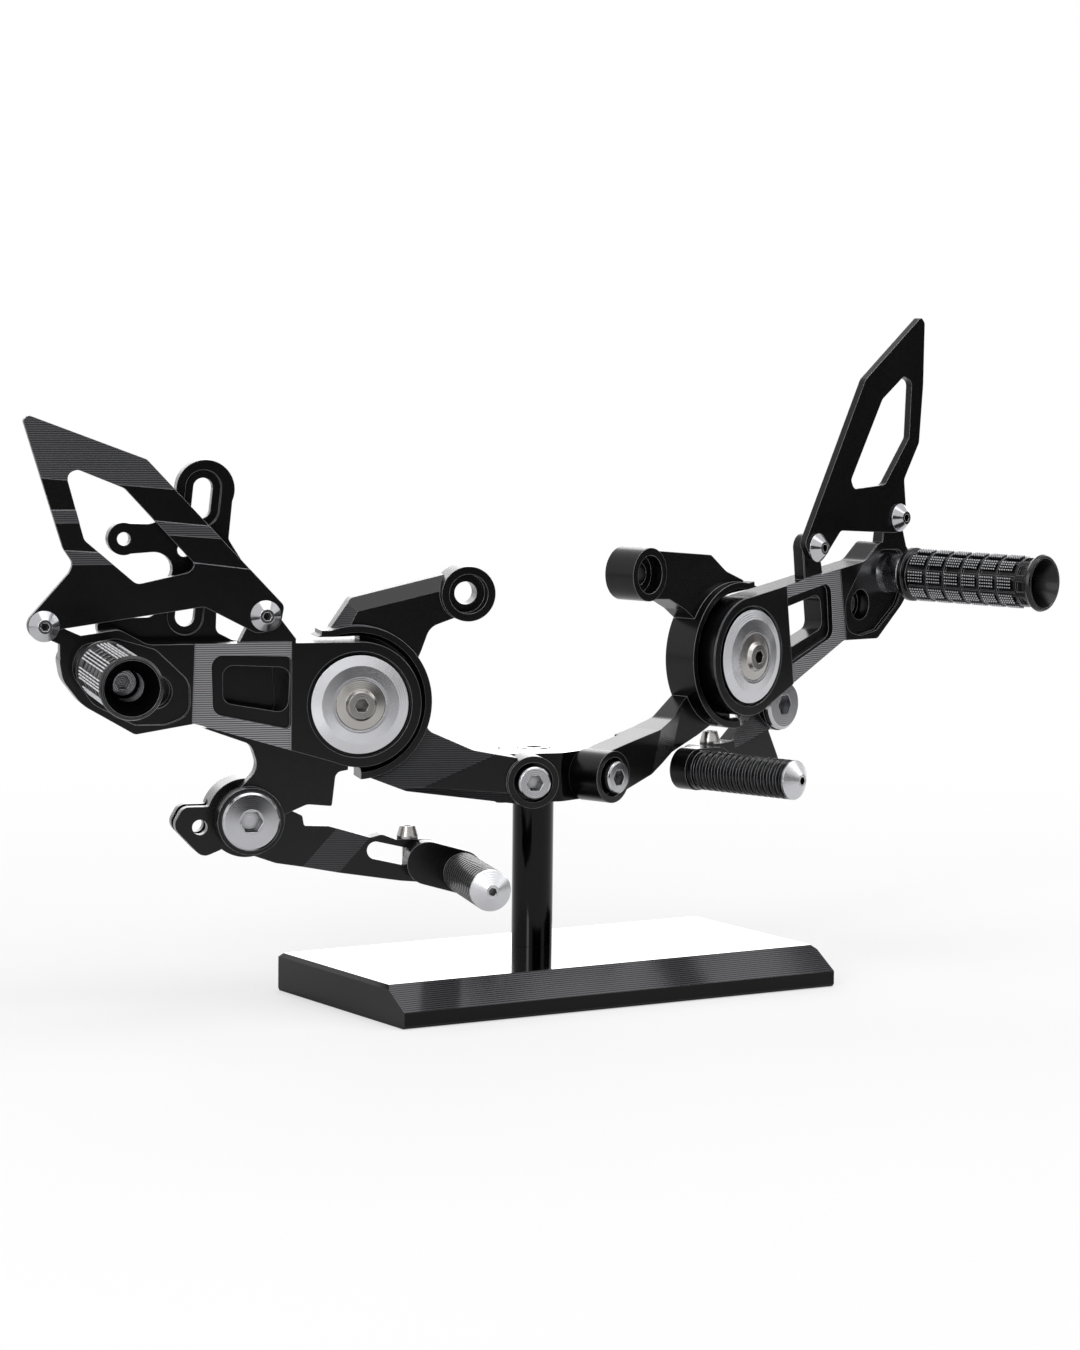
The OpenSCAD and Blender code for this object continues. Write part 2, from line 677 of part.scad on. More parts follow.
// Footpegs, along the outward axis from the arm
collar_hole = peg_bore_d;
module peg_collar() {
    color(grey)
    translate([0, 0, arm_front - 2])
    difference() {
        rotate_extrude()
            polygon([[0, 0], [collar_d / 2 + 0.6, 0], [collar_d / 2, 3],
                     [collar_d / 2 + 1.2, collar_l + 0.6], [collar_d / 2 + 0.8, collar_l + 2],
                     [0, collar_l + 2]]);
        translate([0, 0, -eps]) cylinder(d = collar_hole, h = collar_l + 2 + 2 * eps);
    }
}
flange_t = 3.2;
mouth_r = 10.4;
throat_r = 5.8;
bolt_depth = 28;
grip_from = flange_t + 2.4;
grip_to = peg_l - 9;
module footpeg() {
    pitch = (grip_to - grip_from) / (ring_n + 1);
    r = grip_d / 2;
    top = r + grip_rise;
    color(black)
    translate([0, 0, peg_start])
    difference() {
        union() {
            rotate_extrude()
                polygon([[0, 0], [peg_flange_d / 2 - 1.4, 0], [peg_flange_d / 2 - 0.6, 0.8],
                         [peg_flange_d / 2 - 0.6, flange_t - 0.6],
                         [peg_flange_d / 2 - 1.2, flange_t], [r, flange_t + 0.6],
                         [r, peg_l - 9], [top, peg_l - 8.6], [top, peg_l - 3.4],
                         [peg_flange_d / 2 - 0.5, peg_l - 2.6], [peg_flange_d / 2, peg_l - 1.6],
                         [peg_flange_d / 2 - 0.4, peg_l - 0.5], [mouth_r + 0.6, peg_l],
                         [0, peg_l]]);
            for (i = [1:ring_n])
                translate([0, 0, grip_from + i * pitch - 0.8])
                    rotate_extrude()
                    polygon([[0, 0], [r, 0], [top, 0.35], [top, 1.25], [r, 1.6], [0, 1.6]]);
            for (k = [0:rib_n - 1])
                rotate(k * 360 / rib_n)
                    translate([r - 1, -0.8, grip_from])
                    cube([grip_rise + 0.9, 1.6, grip_to - grip_from + 1]);
        }
        // Small windows round the end ring
        for (k = [0:rib_n - 1])
            rotate((k + 0.5) * 360 / rib_n)
                translate([r - 0.3, -2.2, peg_l - 7.6])
                cube([3, 4.4, 3.4]);
        translate([0, 0, peg_l - 9])
            cylinder(r1 = throat_r, r2 = mouth_r, h = 9 + 0.01);
        translate([0, 0, peg_l - bolt_depth]) cylinder(r = throat_r, h = bolt_depth);
        translate([0, 0, -eps]) cylinder(d = peg_bore_d, h = peg_l);
    }
}
module peg_bolt() {
    color(silver)
    translate([0, 0, peg_start + peg_l - bolt_depth])
        cap_screw(m8_d, peg_l - bolt_depth + collar_l + arm_t - 2, 11, 5, 5);
}

// Levers. Each is drawn in a frame whose origin is its pivot
slot_half = slot_w / 2;
bush_d = pivot_d + 2 * bush_t;
module brake_lever() {
    hub_back = lever_front - brake_hub_t;
    end = brake_slot_end;
    fork_at = brake_pivot + [-18.2, -3.4];
    color(black)
    brake_side()
    difference() {
        union() {
            rod(2 * brake_hub_r, hub_back, lever_front, brake_pivot);
            // Forked ear for the master cylinder's rod
            translate(brake_pivot)
                slab([[-11, 10, 0], [-14.3, 4.6, 3], [-24.8, 4.6, 4.4], [-29, -3, 4.4],
                      [-17.2, -15.4, 4.6], [-9.5, -12.2, 4], [-6, -8, 0], [-4, 4, 0]],
                     hub_back, lever_front);
            // Blade, its face sloping down from a ridge towards the hub
            difference() {
                slab([[-108, 0, 0], [-99, -8.5, 3], [-90.5, -12.6, 1], [-89.8, -16.6, 1],
                      [-80, -17, 4], [-63.9, -21.5, 2], [-59.2, -20.3, 3],
                      [-53.6, end[1] + lever_r, 1], [end[0], end[1] + lever_r - 0.1, 0],
                      [end[0], end[1] - lever_r, 0], [-51.5, -38.9, 5], [-76.3, -35.1, 6],
                      [-101.1, -31.1, 10], [-111, -27.6, 0]],
                     blade_back, lever_front);
                fall([-76.3, -35.1], [-63.9, -21.5], 12, 3, lever_front);
            }
            rod(2 * lever_r, blade_back, lever_front, end);
        }
        translate(end)
            rotate(brake_slot_turn)
            slot_cut(slot_l, slot_w, blade_back - eps, lever_front + eps);
        // Gap of the fork
        translate([brake_pivot[0] - 40, brake_pivot[1] - 20, lever_front - brake_hub_t / 2 - 2.5])
            cube([40 - brake_hub_r + 1.5, 40, 5]);
        rod(6, hub_back - eps, lever_front + eps, fork_at);
        rod(bush_d, hub_back - eps, lever_front + eps, brake_pivot);
        lock_hole(brake_lock);
    }
}
module shift_lever() {
    end = shift_slot_end;
    color(black)
    shift_side()
    difference() {
        union() {
            rod(2 * shift_hub_r, blade_back, lever_front, shift_pivot);
            difference() {
                slab([[110.6, 26, 0], [102.6, 14.4, 8], [94.8, 11.4, 3], [88, 6.6, 2],
                      [83, end[1] + lever_r - 0.1, 0], [end[0], end[1] + lever_r - 0.1, 0],
                      [end[0], end[1] - lever_r + 0.1, 0], [100.5, -11.1, 8],
                      [111.5, -15, 5], [120, -9.6, 5], [119.2, -2.8, 3], [112.4, 9, 0],
                      [119.5, 15, 0]],
                     blade_back, lever_front);
                fall([90, 3.3], [110, 8.8], 7, 2.6, lever_front, 0);
            }
            rod(2 * lever_r, blade_back, lever_front, end);
        }
        translate(end)
            rotate(shift_slot_turn)
            slot_cut(slot_l, slot_w, blade_back - eps, lever_front + eps);
        rod(6, blade_back - eps, lever_front + eps, shift_rod_eye);
        rod(bush_d, blade_back - eps, lever_front + eps, shift_pivot);
        lock_hole(shift_lock);
    }
}
shift_rod_eye = [113.8, -8.1];
// Upright hole for a lock screw, through the slot
module lock_hole(foot) {
    translate([foot[0], foot[1] - 12.5, (lever_front + blade_back) / 2])
        rotate([-90, 0, 0])
        cylinder(d = 4.2, h = 16);
}
// Flanged ring bushes in a lever's hub
module bush(back, front) {
    difference() {
        rod(bush_d, back, front);
        rod(pivot_d + 2 * pivot_clear, back - eps, front + eps);
    }
}
module brake_lever_bushes() {
    hub_back = lever_front - brake_hub_t;
    color("#b08d57")
    brake_side()
    translate(brake_pivot) {
        bush(lever_front - 5, lever_front);
        bush(hub_back, hub_back + 5);
    }
}
module shift_lever_bushes() {
    color("#b08d57")
    shift_side()
    translate(shift_pivot) bush(blade_back, lever_front);
}
module brake_pivot_bolt() {
    seat = arm_front - 3;
    tail = lever_front - brake_hub_t - side_gap;
    color(silver)
    brake_side()
    translate(brake_pivot)
    difference() {
        union() {
            rod(pivot_d, tail, seat + eps);
            rod(8, tail - 6, tail + eps);
            translate([0, 0, seat])
                rotate_extrude()
                polygon([[0, 0], [pivot_head_d / 2, 0], [pivot_head_d / 2, 2.2],
                         [pivot_head_d / 2 - 0.8, 3], [5, 3.4], [0, 3.4]]);
        }
        socket(8, 5, seat + 3.4);
    }
}
module pivot_nut(tail) {
    color(silver)
    difference() {
        translate([0, 0, tail - 5.5])
            cylinder(d = 17, h = 5.5, $fn = 6);
        rod(8.2, tail - 5.5 - eps, tail + eps);
    }
}
carrier_t = 6;
carrier_front = blade_back - side_gap;
carrier_back = carrier_front - carrier_t;
carrier_screw_at = [[29.6, -10.6], [39.2, -7.6]];
shift_pivot_in_arm = [
    (shift_pivot[0] - shift_disc[0]) * cos(shift_lift)
        + (shift_pivot[1] - shift_disc[1]) * sin(shift_lift),
    (shift_pivot[1] - shift_disc[1]) * cos(shift_lift)
        - (shift_pivot[0] - shift_disc[0]) * sin(shift_lift)];
// Plate behind the shift arm that carries the lever's pivot
module shift_carrier() {
    p = shift_pivot_in_arm;
    color(black)
    shift_arm_frame()
    difference() {
        union() {
            slab([[21, -17, 1], [44, -11.5, 2], [44, -1.6, 2], [27, -4, 1], [25.2, -6.5, 0]],
                 carrier_back, arm_back);
            slab([[21, -17.5, 0], [25.2, -6.6, 0], [27, -4.1, 0], [44.1, -1.7, 2],
                  [44.1, -11, 0], [p[0] + 11.6, p[1] + 2, 0], [p[0] - 11.6, p[1] + 2, 0]],
                 carrier_back, carrier_front);
            rod(24, carrier_back, carrier_front, p);
        }
        rod(pivot_d + 2 * fit, carrier_back - eps, carrier_front + eps, p);
        for (h = carrier_screw_at) {
            rod(5.2, carrier_back - eps, arm_back + eps, h);
            rod(9, carrier_back - eps, carrier_back + 3, h);
        }
    }
}
module carrier_screws() {
    color(silver)
    shift_arm_frame()
    for (h = carrier_screw_at)
        translate([h[0], h[1], carrier_back + 3])
            rotate([180, 0, 0])
            difference() {
                union() {
                    rod(5, -(arm_back - carrier_back - 3) - 6, eps);
                    rod(8.6, 0, 2.7);
                }
                socket(3, 1.8, 2.7);
            }
}
module shift_pivot_bolt() {
    seat = lever_front + side_gap;
    color(silver)
    shift_side()
    translate(shift_pivot)
    difference() {
        union() {
            rod(pivot_d, carrier_back, seat + eps);
            rod(8, carrier_back - 6, carrier_back + eps);
            translate([0, 0, seat])
                rotate_extrude()
                polygon([[0, 0], [10.5, 0], [10.5, 1.6], [9.4, 2.6], [0, 2.6]]);
        }
        socket(8, 4.5, seat + 2.6);
    }
}

// Toe pegs: an eccentric link on the lever, the grooved peg and its turned cone
link_front = lever_front + link_t;
toe_front = link_front + toe_l;
module toe_link() {
    color(black)
    difference() {
        union() {
            rod(2 * link_r, lever_front, link_front);
            rod(2 * link_r, lever_front, link_front, [link_l, 0]);
            translate([0, -link_r, lever_front]) cube([link_l, 2 * link_r, link_t]);
            rod(slot_w - 2 * fit, lever_front - blade_t + 1, lever_front + eps);
        }
        rod(5.2, lever_front - blade_t, link_front - 2);
        rod(6.2, lever_front + 1, link_front + eps, [link_l, 0]);
    }
}
module link_screw() {
    color(silver)
    translate([0, 0, blade_back])
        rotate([180, 0, 0])
        cap_screw(5, blade_t + 4, 11, 3, 3);
}
module toe_peg() {
    pitch = (toe_l - 5) / groove_n;
    r = toe_d / 2;
    color(black)
    translate([0, 0, link_front])
    difference() {
        union() {
            rotate_extrude()
                polygon(concat(
                    [[0, 0], [r - 0.3, 0], [r, 0.4], [r, 2.6]],
                    [for (i = [0:groove_n - 1], k = [0:3])
                        let (z = 3 + i * pitch)
                        [k == 0 || k == 3 ? r - 1.1 : r,
                         z + [0.05, 0.9, pitch - 0.9, pitch - 0.05][k]]],
                    [[r, toe_l - 1.4], [r, toe_l], [0, toe_l]]));
        }
        translate([0, 0, -eps]) cylinder(d = 6.2, h = toe_l + 2 * eps);
    }
}
module toe_cone() {
    color(silver)
    difference() {
        union() {
            rod(6, lever_front + 1.5, toe_front + eps);
            translate([0, 0, toe_front])
                rotate_extrude()
                polygon([[0, 0], [toe_d / 2, 0], [toe_d / 2, 0.8], [2.5, cone_l], [0, cone_l]]);
        }
        socket(3, 3, toe_front + cone_l);
    }
}
module lock_screw() {
    // Head above the lever's edge, shank crossing the slot
    color(titanium)
    difference() {
        union() {
            rotate_extrude()
                polygon([[0, 0], [4.2, 0], [4.2, 1], [3, 5], [0, 5]]);
            rod(4, -11, eps);
        }
        socket(3, 3, 5);
    }
}
module at_brake_tip() brake_side() translate(brake_slot_end) rotate(brake_link_turn) children();
module at_shift_tip() shift_side() translate(shift_slot_end) rotate(shift_link_turn) children();
// A screw standing upright on a lever's edge
module upright(foot) {
    translate([foot[0], foot[1] + 0.05, (lever_front + blade_back) / 2])
        rotate([-90, 0, 0])
        children();
}

base_plate();
stand_post();
post_screw();
head_block();
head_screw();
brake_frame_plate();
brake_side() mount_screw();  // brake_mount_screw
brake_peg_arm();
brake_arm_frame() cover_disc();  // brake_cover_disc
brake_arm_frame() centre_bolt();  // brake_centre_bolt
brake_heel_guard();
brake_side() guard_screws(brake_guard_holes);  // brake_guard_screws
cylinder_bracket();
brake_side() back_screws(bracket_screw_at, bracket_back, 3);  // bracket_screws
brake_arm_frame() translate(peg_at) peg_collar();  // brake_peg_collar
brake_arm_frame() translate(peg_at) footpeg();  // brake_footpeg
brake_arm_frame() translate(peg_at) peg_bolt();  // brake_peg_bolt
brake_lever();
brake_lever_bushes();
brake_pivot_bolt();
brake_side() translate(brake_pivot) pivot_nut(lever_front - brake_hub_t - side_gap);  // brake_pivot_nut
at_brake_tip() toe_link();  // brake_toe_link
at_brake_tip() link_screw();  // brake_link_screw
at_brake_tip() translate([link_l, 0, 0]) toe_peg();  // brake_toe_peg
at_brake_tip() translate([link_l, 0, 0]) toe_cone();  // brake_toe_cone
brake_side() upright(brake_lock) lock_screw();  // brake_lock_screw
shift_frame_plate();
shift_side() mount_screw();  // shift_mount_screw
shift_peg_arm();
shift_arm_frame() cover_disc();  // shift_cover_disc
shift_arm_frame() centre_bolt();  // shift_centre_bolt
shift_heel_guard();
shift_side() guard_screws(shift_guard_holes);  // shift_guard_screws
shift_carrier();
carrier_screws();
shift_arm_frame() translate(peg_at) peg_collar();  // shift_peg_collar
shift_arm_frame() translate(peg_at) footpeg();  // shift_footpeg
shift_arm_frame() translate(peg_at) peg_bolt();  // shift_peg_bolt
shift_lever();
shift_lever_bushes();
shift_pivot_bolt();
shift_side() translate(shift_pivot) pivot_nut(carrier_back);  // shift_pivot_nut
at_shift_tip() toe_link();  // shift_toe_link
at_shift_tip() link_screw();  // shift_link_screw
at_shift_tip() translate([link_l, 0, 0]) toe_peg();  // shift_toe_peg
at_shift_tip() translate([link_l, 0, 0]) toe_cone();  // shift_toe_cone
shift_side() upright(shift_lock) lock_screw();  // shift_lock_screw
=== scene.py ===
"""Looks of the adjustable rearset pair on its display stand.

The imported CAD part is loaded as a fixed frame. Every node gets a procedural finish, and
the footpegs get their cut knurling as pieces of their own. The frame is in metres, and
sizes below are in millimetres times MM.
"""

import json
import logging
import math
from dataclasses import dataclass, field
from enum import Enum
from typing import Any

import bmesh
import bpy
from mathutils import Matrix, Vector

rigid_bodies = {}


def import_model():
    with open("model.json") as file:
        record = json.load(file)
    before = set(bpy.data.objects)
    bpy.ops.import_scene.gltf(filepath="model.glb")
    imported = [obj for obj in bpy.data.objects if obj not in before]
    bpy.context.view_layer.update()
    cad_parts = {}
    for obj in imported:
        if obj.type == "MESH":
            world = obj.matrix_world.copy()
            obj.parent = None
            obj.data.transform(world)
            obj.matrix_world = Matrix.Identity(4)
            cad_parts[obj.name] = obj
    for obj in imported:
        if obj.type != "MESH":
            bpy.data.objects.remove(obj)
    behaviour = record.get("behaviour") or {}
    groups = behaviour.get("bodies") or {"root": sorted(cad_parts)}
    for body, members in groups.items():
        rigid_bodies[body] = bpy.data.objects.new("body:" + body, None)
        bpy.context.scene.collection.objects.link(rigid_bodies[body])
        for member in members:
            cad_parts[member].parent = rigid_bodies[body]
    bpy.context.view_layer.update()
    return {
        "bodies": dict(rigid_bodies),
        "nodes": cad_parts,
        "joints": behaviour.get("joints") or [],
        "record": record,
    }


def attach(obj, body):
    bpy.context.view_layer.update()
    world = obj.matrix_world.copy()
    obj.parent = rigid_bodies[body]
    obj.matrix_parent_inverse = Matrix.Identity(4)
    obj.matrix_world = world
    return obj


log = logging.getLogger("rearset")

MM = 0.001
TAU = 2 * math.pi
# The display stand turns each side away from the front by this angle.
SPLAY = math.radians(18.0)
# Outer face of each side's lower boss, left and right of the middle.
BOSS_X = (14.3 + 14.5 * math.sin(SPLAY)) * MM
BOSS_Y = (3.6 - 14.5 * math.cos(SPLAY)) * MM
BOSS_Z = 85.2 * MM
# The shift arm is raised by this angle.
LIFT = math.radians(7.8)

# A node input: a plain value or another node's output socket.
Value = Any
Colour = tuple[float, float, float, float]


def srgb(code: str) -> Colour:
    """Turns a hex sRGB colour into Blender's linear colour.

    Args:
        code: Six hex digits after a hash.

    Returns:
        Linear red, green and blue, and an alpha of one.
    """
    parts = [int(code[i : i + 2], 16) / 255 for i in (1, 3, 5)]
    line = [p / 12.92 if p <= 0.04045 else ((p + 0.055) / 1.055) ** 2.4 for p in parts]
    return (line[0], line[1], line[2], 1.0)


def node(tree: bpy.types.NodeTree, kind: str, inputs: dict[Any, Value] | None = None,
         **settings: Any) -> bpy.types.Node:
    """Adds one shader node and fills in its sockets.

    Args:
        tree: The node tree that gets the node.
        kind: Blender's name of the node type.
        inputs: Socket name or number, to a value or to another node's output.
        **settings: Attributes of the node itself, such as its operation.

    Returns:
        The new node.
    """
    made = tree.nodes.new(kind)
    for key, value in settings.items():
        setattr(made, key, value)
    for key, value in (inputs or {}).items():
        if isinstance(value, bpy.types.NodeSocket):
            tree.links.new(value, made.inputs[key])
        else:
            made.inputs[key].default_value = value
    return made


class Side(Enum):
    """The two sides of the pair, seen from the front of the stand."""

    BRAKE = -1
    SHIFT = 1

    @property
    def body_words(self) -> str:
        """Start of the names of this side's nodes."""
        return self.name.lower()

    def frame(self) -> Matrix:
        """Works out the side's own frame.

        Returns:
            Matrix with X rightwards as seen from outside, Y up and Z outward.
        """
        place = Matrix.Translation((self.value * BOSS_X, BOSS_Y, BOSS_Z))
        turn = Matrix.Rotation(self.value * SPLAY, 4, "Z") @ Matrix.Rotation(TAU / 4, 4, "X")
        return place @ turn

    def outward(self) -> Vector:
        """Direction that the side faces."""
        return (self.frame().to_3x3() @ Vector((0, 0, 1))).normalized()

    def at(self, x: float, y: float, depth: float = 0.0) -> Vector:
        """Point of the side in the part's frame, from millimetres in the side's frame."""
        return self.frame() @ (Vector((x, y, depth)) * MM)


# Centres of the cover discs, the lever pivots and the toe pegs, in each side's frame.
DISC = {Side.BRAKE: (-70.9, 32.5), Side.SHIFT: (83.6, 43.0)}
PIVOT = {Side.BRAKE: (-113.4, -12.5), Side.SHIFT: (119.5, 19.6)}
TOE = {Side.BRAKE: (-28.72, -34.89), Side.SHIFT: (54.41, -1.71)}
# Footpeg from the disc: along the arm and above it, and where the peg starts outward.
PEG_ALONG, PEG_UP, PEG_START = 101.0, 15.9, 14.7
# Depths of the faces that were skimmed with a small cutter, in millimetres outward: the
# middle of the brake arm and the upper part of the brake heel guard.
ARM_FIELD = 4.1
GUARD_FACE = 7.7
# Height where the cutter lines of the heel guard begin.
GUARD_LINES_FROM = BOSS_Z + 88 * MM
# How far a point may lie off a skimmed face and still count as on it.
FACE_SLACK = 0.12 * MM
# Depth of a milling cutter's path lines and of a turning tool's grooves.
PATH_DEPTH = 0.03 * MM
GROOVE_DEPTH = 0.005 * MM
# Width over which the painted highlight on a tooth's tip fades into the dark flank.
TIP_HIGHLIGHT_FADE = 0.5 * MM
# Pose of the photo's camera: its angles in degrees and the part's origin seen from it.
CAMERA_ANGLES = (31.985, 5.767, 0.582)
CAMERA_SHIFT = (7.072, 1745.788, -125.38)
CAMERA_LENS, CAMERA_SENSOR = 116.25, 36.0


def peg_centre(side: Side) -> tuple[float, float]:
    """Works out where the footpeg's axis stands.

    Args:
        side: The side of the pair.

    Returns:
        Its place in the side's frame, in millimetres.
    """
    disc = DISC[side]
    if side is Side.BRAKE:
        return (disc[0] - PEG_ALONG, disc[1] + PEG_UP)
    c, s = math.cos(LIFT), math.sin(LIFT)
    return (disc[0] + PEG_ALONG * c - PEG_UP * s, disc[1] + PEG_ALONG * s + PEG_UP * c)


@dataclass(frozen=True)
class Axis:
    """Line that a part was turned about.

    Attributes:
        centre: A point on the line.
        along: Unit direction of the line.
    """

    centre: Vector
    along: Vector


@dataclass(frozen=True)
class Milled:
    """Where a milling cutter left its path lines.

    Attributes:
        outward: Direction that the milled side faces.
        tilt: Lowest and highest cosine between outward and a sloped, lined facet.
        depth: Depth in metres along outward of one flat face that is lined too.
        above: Lowest height in metres of that flat face's lines.
        reach: Height of those lines above that.
        pitch: Distance between path lines in metres of height.
        tone: Weight of the lighter colour on the lines.
        shine: Hex sRGB colour of the bare crests of the lines.
    """

    outward: Vector
    tilt: tuple[float, float] = (0.80, 0.9985)
    depth: float | None = None
    above: float = 0.0
    reach: float = 1.0
    pitch: float = 0.85 * MM
    tone: float = 0.3
    shine: str = "#6a6a6e"


@dataclass(frozen=True)
class Metal:
    """A metal surface: its colour, how it was made and how rough that left it.

    Attributes:
        name: Material name, after the real metal and process.
        colour: Hex sRGB colour of the surface.
        edge_highlight: Hex sRGB colour of the painted highlight on the broken edges.
        roughness: Mean roughness of the finish.
        metallic: One for bare metal, less where a dyed oxide layer covers it.
        specular: Specular level of that layer.
        grit: Size in metres of the blasted or tumbled grain.
        relief: Depth in metres of that grain.
        turned: Distance in metres between turning grooves, zero for none.
        stretch: Anisotropy of the highlight across the grooves.
        round_off: Radius in metres of the broken edges.
        nook_shade: How dark the painted shade in sockets and inner corners is.
        level_coat: True if only the level top was polished and sealed.
        tip_highlight: Distance in metres from the axis where the tip of each tooth gets a
            painted highlight.
    """

    name: str
    colour: str
    edge_highlight: str
    roughness: float
    metallic: float = 1.0
    specular: float = 0.5
    grit: float = 0.45 * MM
    relief: float = 0.004 * MM
    turned: float = 0.0
    stretch: float = 0.0
    round_off: float = 0.3 * MM
    nook_shade: float = 0.0
    level_coat: bool = False
    tip_highlight: float = 0.0

    def build(self, words: str = "", axis: Axis | None = None,
              milled: Milled | None = None) -> bpy.types.Material:
        """Makes the Blender material.

        Args:
            words: Words added to the name where a part has its own version.
            axis: Line that the part was turned about, for grooves and round highlights.
            milled: Where cutter lines show.

        Returns:
            The new material.
        """
        made = bpy.data.materials.new(self.name + words)
        made.use_nodes = True
        tree = made.node_tree
        tree.nodes.clear()
        out = node(tree, "ShaderNodeOutputMaterial")
        place = node(tree, "ShaderNodeTexCoord").outputs["Object"]
        true = node(tree, "ShaderNodeNewGeometry").outputs["True Normal"]
        # Broken edges: the rounded normal departs from the face's own near them, and there
        # the lighter colour is mixed in as a painted highlight.
        soft = node(tree, "ShaderNodeBevel", {"Radius": self.round_off}, samples=6)
        agree = node(tree, "ShaderNodeVectorMath", {0: soft.outputs[0], 1: true},
                     operation="DOT_PRODUCT")
        rim = node(tree, "ShaderNodeMapRange",
                   {"Value": agree.outputs["Value"], "From Min": 0.985, "From Max": 0.86,
                    "To Min": 0.0, "To Max": 0.85})
        grain = node(tree, "ShaderNodeTexNoise",
                     {"Vector": place, "Scale": 1 / self.grit, "Detail": 2.0})
        cloud = node(tree, "ShaderNodeTexNoise",
                     {"Vector": place, "Scale": 1 / (22 * MM), "Detail": 4.0})
        wear = node(tree, "ShaderNodeMath",
                    {0: grain.outputs["Fac"], 1: cloud.outputs["Fac"]}, operation="ADD")
        rough = node(tree, "ShaderNodeMapRange",
                     {"Value": wear.outputs[0], "From Min": 0.6, "From Max": 1.4,
                      "To Min": self.roughness * 0.93, "To Max": self.roughness * 1.09})
        light = rim.outputs[0]
        # Painted highlight on the teeth: far enough from the axis, the lighter colour is
        # mixed in.
        if self.tip_highlight > 0 and axis is not None:
            radius, _ = self.round(tree, place, axis)
            light = node(tree, "ShaderNodeMapRange",
                         {"Value": radius, "From Min": self.tip_highlight - TIP_HIGHLIGHT_FADE,
                          "From Max": self.tip_highlight}).outputs[0]
        # Painted highlight: the lighter colour goes onto the masked edges, or onto the tip of
        # each tooth.
        highlit_edges = node(tree, "ShaderNodeMix", {0: light, 6: srgb(self.colour),
                                            7: srgb(self.edge_highlight)}, data_type="RGBA")
        # Painted shade: sockets and inner corners are darkened where ambient occlusion finds
        # them closed in.
        nook = node(tree, "ShaderNodeAmbientOcclusion", {"Distance": 3.5 * MM}, samples=8)
        shade_weight = node(tree, "ShaderNodeMapRange",
                    {"Value": nook.outputs["AO"], "From Min": 0.25, "From Max": 0.8,
                     "To Min": self.nook_shade, "To Max": 0.0})
        painted_shade = node(tree, "ShaderNodeMix", {0: shade_weight.outputs[0], 6: highlit_edges.outputs[2],
                                            7: srgb("#0a0a0b")}, data_type="RGBA")
        colour = painted_shade.outputs[2]
        height = grain.outputs["Fac"]
        depth = self.relief
        if milled is not None:
            colour, height = self.lines(tree, place, true, colour, milled)
            depth = PATH_DEPTH
        if self.turned > 0 and axis is not None:
            radius, tangent = self.round(tree, place, axis)
            wave = node(tree, "ShaderNodeMath", {0: radius, 1: TAU / self.turned},
                        operation="MULTIPLY")
            groove = node(tree, "ShaderNodeMath", {0: wave.outputs[0]}, operation="SINE")
            height, depth = groove.outputs[0], GROOVE_DEPTH
        bump = node(tree, "ShaderNodeBump",
                    {"Height": height, "Distance": depth, "Strength": 0.6,
                     "Normal": soft.outputs[0]})
        shade = node(tree, "ShaderNodeBsdfPrincipled",
                     {"Base Color": colour, "Metallic": self.metallic,
                      "Roughness": rough.outputs[0], "Normal": bump.outputs[0],
                      "Specular IOR Level": self.specular, "Anisotropic": self.stretch,
                      "Coat Roughness": 0.03})
        if self.turned > 0 and axis is not None:
            tree.links.new(tangent, shade.inputs["Tangent"])
        if self.level_coat:
            top = node(tree, "ShaderNodeSeparateXYZ", {0: true})
            sealed = node(tree, "ShaderNodeMapRange",
                          {"Value": top.outputs["Z"], "From Min": 0.97, "From Max": 0.99})
            tree.links.new(sealed.outputs[0], shade.inputs["Coat Weight"])
        tree.links.new(shade.outputs[0], out.inputs["Surface"])
        return made

    def round(self, tree: bpy.types.NodeTree, place: Value,
              axis: Axis) -> tuple[Value, Value]:
        """Works out a turned part's radius and groove direction.

        Args:
            tree: The material's node tree.
            place: Socket of the point on the object.
            axis: Line that the part was turned about.

        Returns:
            Sockets of the distance from the axis and of the direction of the grooves.
        """
        arm = node(tree, "ShaderNodeVectorMath", {0: place, 1: axis.centre},
                   operation="SUBTRACT")
        along = node(tree, "ShaderNodeVectorMath", {0: arm.outputs[0], 1: axis.along},
                     operation="DOT_PRODUCT")
        drop = node(tree, "ShaderNodeVectorMath",
                    {0: axis.along, "Scale": along.outputs["Value"]}, operation="SCALE")
        flat = node(tree, "ShaderNodeVectorMath", {0: arm.outputs[0], 1: drop.outputs[0]},
                    operation="SUBTRACT")
        far = node(tree, "ShaderNodeVectorMath", {0: flat.outputs[0]}, operation="LENGTH")
        turn = node(tree, "ShaderNodeVectorMath", {0: axis.along, 1: flat.outputs[0]},
                    operation="CROSS_PRODUCT")
        unit = node(tree, "ShaderNodeVectorMath", {0: turn.outputs[0]},
                    operation="NORMALIZE")
        return far.outputs["Value"], unit.outputs[0]

